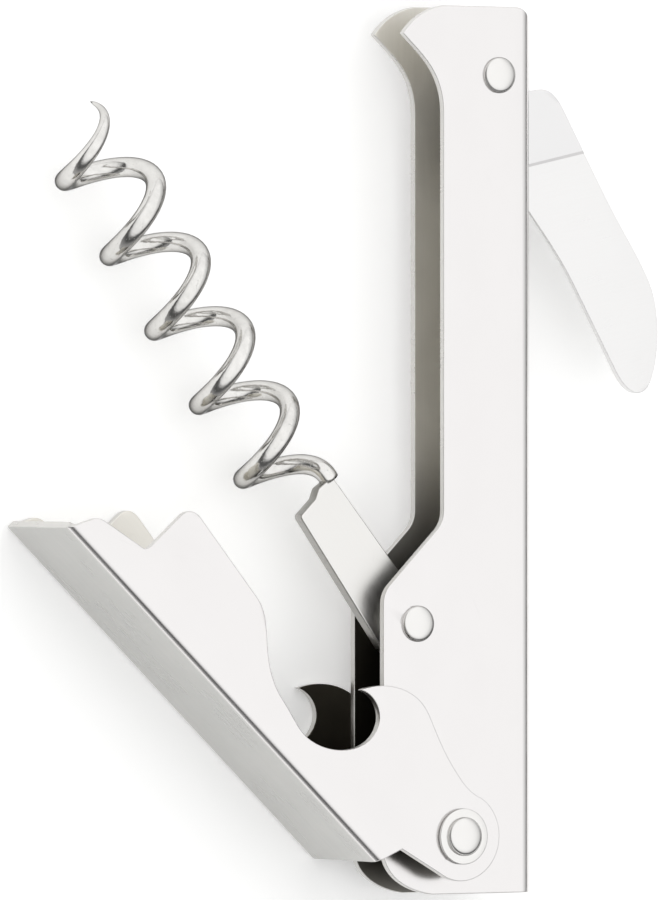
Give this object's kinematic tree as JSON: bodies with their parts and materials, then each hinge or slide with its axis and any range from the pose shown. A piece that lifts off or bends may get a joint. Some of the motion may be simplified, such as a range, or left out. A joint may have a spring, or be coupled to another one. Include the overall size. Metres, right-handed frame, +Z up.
{
  "type": "waiters corkscrew",
  "caption": "Folding corkscrew of bent steel sheet, with a pivoting coiled worm, a lever with a lip rest and cap hook, and a foil knife.",
  "frame": {"origin": "on the surface that the corkscrew lies on, under the centre of the opened tool's bounding box", "axes": "+Z up out of the broad side, +Y along the handle from the lever pin to the knife pin, +X out of the handle's back"},
  "size_m": [0.0942, 0.115, 0.018],
  "materials": {
    "polished_sheet": "polished, fine straight grain",
    "worm_wire": "bright drawn wire",
    "blade_steel": "satin ground",
    "pin_steel": "polished",
    "turned_steel": "turned"
  },
  "bodies": {
    "handle": {"handle_channel": "polished_sheet", "worm_rivet": "pin_steel", "knife_rivet": "pin_steel", "lever_rivet": "pin_steel", "lever_rivet_washer": "pin_steel", "lever_sleeve": "turned_steel", "lever_collar_upper": "turned_steel", "lever_collar_lower": "turned_steel", "worm_washer_upper": "turned_steel", "worm_washer_lower": "turned_steel", "knife_washer_upper": "turned_steel", "knife_washer_lower": "turned_steel"},
    "lever": {"lever_channel": "polished_sheet"},
    "worm": {"worm": "worm_wire", "worm_holder": "polished_sheet"},
    "knife": {"knife_blade": "blade_steel"}
  },
  "joints": [
    {"name": "lever_swing", "type": "hinge", "parent": "handle", "child": "lever", "pos_m": [0.01175, -0.04985, 0.00825], "axis": [0, 0, 1], "range_deg": [-39.6, 72]},
    {"name": "worm_swing", "type": "hinge", "parent": "handle", "child": "worm", "pos_m": [0.00765, -0.02245, 0.00825], "axis": [0, 0, 1], "range_deg": [-30.8, 56]},
    {"name": "knife_swing", "type": "hinge", "parent": "handle", "child": "knife", "pos_m": [0.02015, 0.04855, 0.00825], "axis": [0, 0, 1], "range_deg": [-37, 140]}
  ],
  "couplings": [
    {"joint": "worm_swing", "follows": "lever_swing", "ratio": 0.77778}
  ]
}
